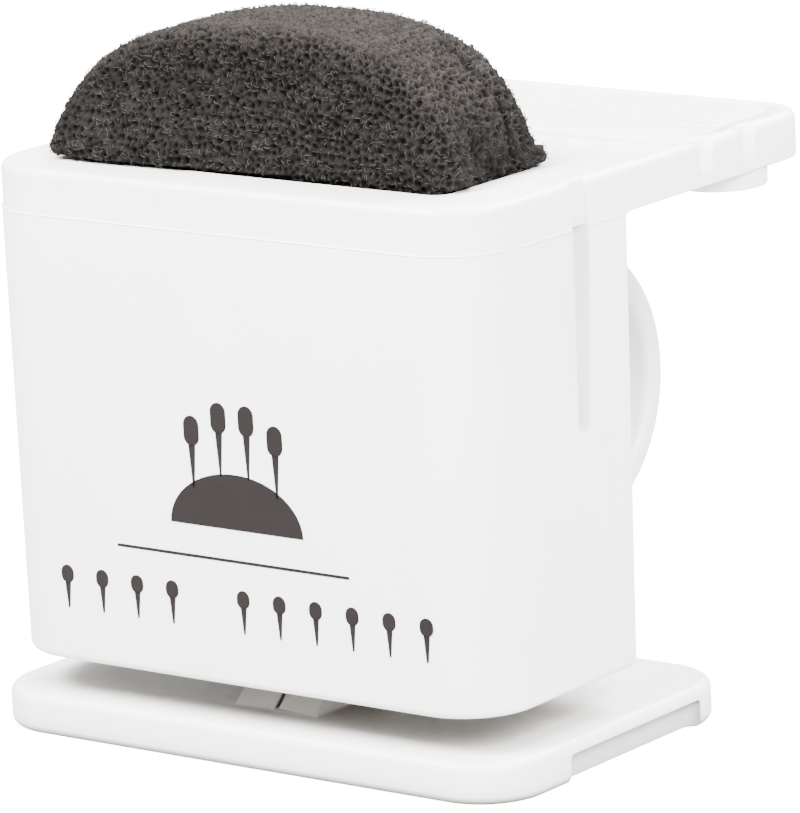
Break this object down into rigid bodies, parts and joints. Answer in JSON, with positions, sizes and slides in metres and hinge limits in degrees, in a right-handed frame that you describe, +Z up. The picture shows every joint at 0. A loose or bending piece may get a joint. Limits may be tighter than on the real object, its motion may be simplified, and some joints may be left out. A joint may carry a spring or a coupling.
{
  "type": "finger-worn endodontic file organiser",
  "caption": "Finger-worn file holder with a foam insert, a graduated deck with file gauges, a swivelling finger ring and a lift-off bench base.",
  "frame": {"origin": "middle of the base plate's underside, which stands on the bench", "axes": "+Z up, +X along the holder's long side, -Y is the front face, +Y is the side with the graduated deck and the finger ring"},
  "size_m": [0.0396, 0.0376, 0.0441],
  "materials": {
    "base_plastic": "satin moulded, white",
    "holder_plastic": "satin moulded, white",
    "inner_plastic": "satin moulded, white",
    "ring_plastic": "satin moulded, white",
    "foam": "open-cell foam, charcoal",
    "print_ink": "pad-printed ink, near black"
  },
  "bodies": {
    "base": {"base_plate": "base_plastic"},
    "holder": {"holder_cup": "holder_plastic", "deck_frame": "holder_plastic", "bottom_cover": "inner_plastic", "ruler_strip": "holder_plastic", "swivel_stud": "inner_plastic", "stud_clip": "inner_plastic"},
    "ring": {"finger_ring": "ring_plastic"},
    "foam": {"foam_insert": "foam"}
  },
  "joints": [
    {"name": "holder_lift", "type": "slide", "parent": "base", "child": "holder", "axis": [0, 0, 1], "range_m": [0, 0.015]},
    {"name": "ring_swivel", "type": "hinge", "parent": "holder", "child": "ring", "pos_m": [0, 0.01625, 0.0177], "axis": [0, 1, 0], "continuous": true},
    {"name": "foam_lift", "type": "slide", "parent": "holder", "child": "foam", "axis": [0, 0, 1], "range_m": [0, 0.02]}
  ]
}
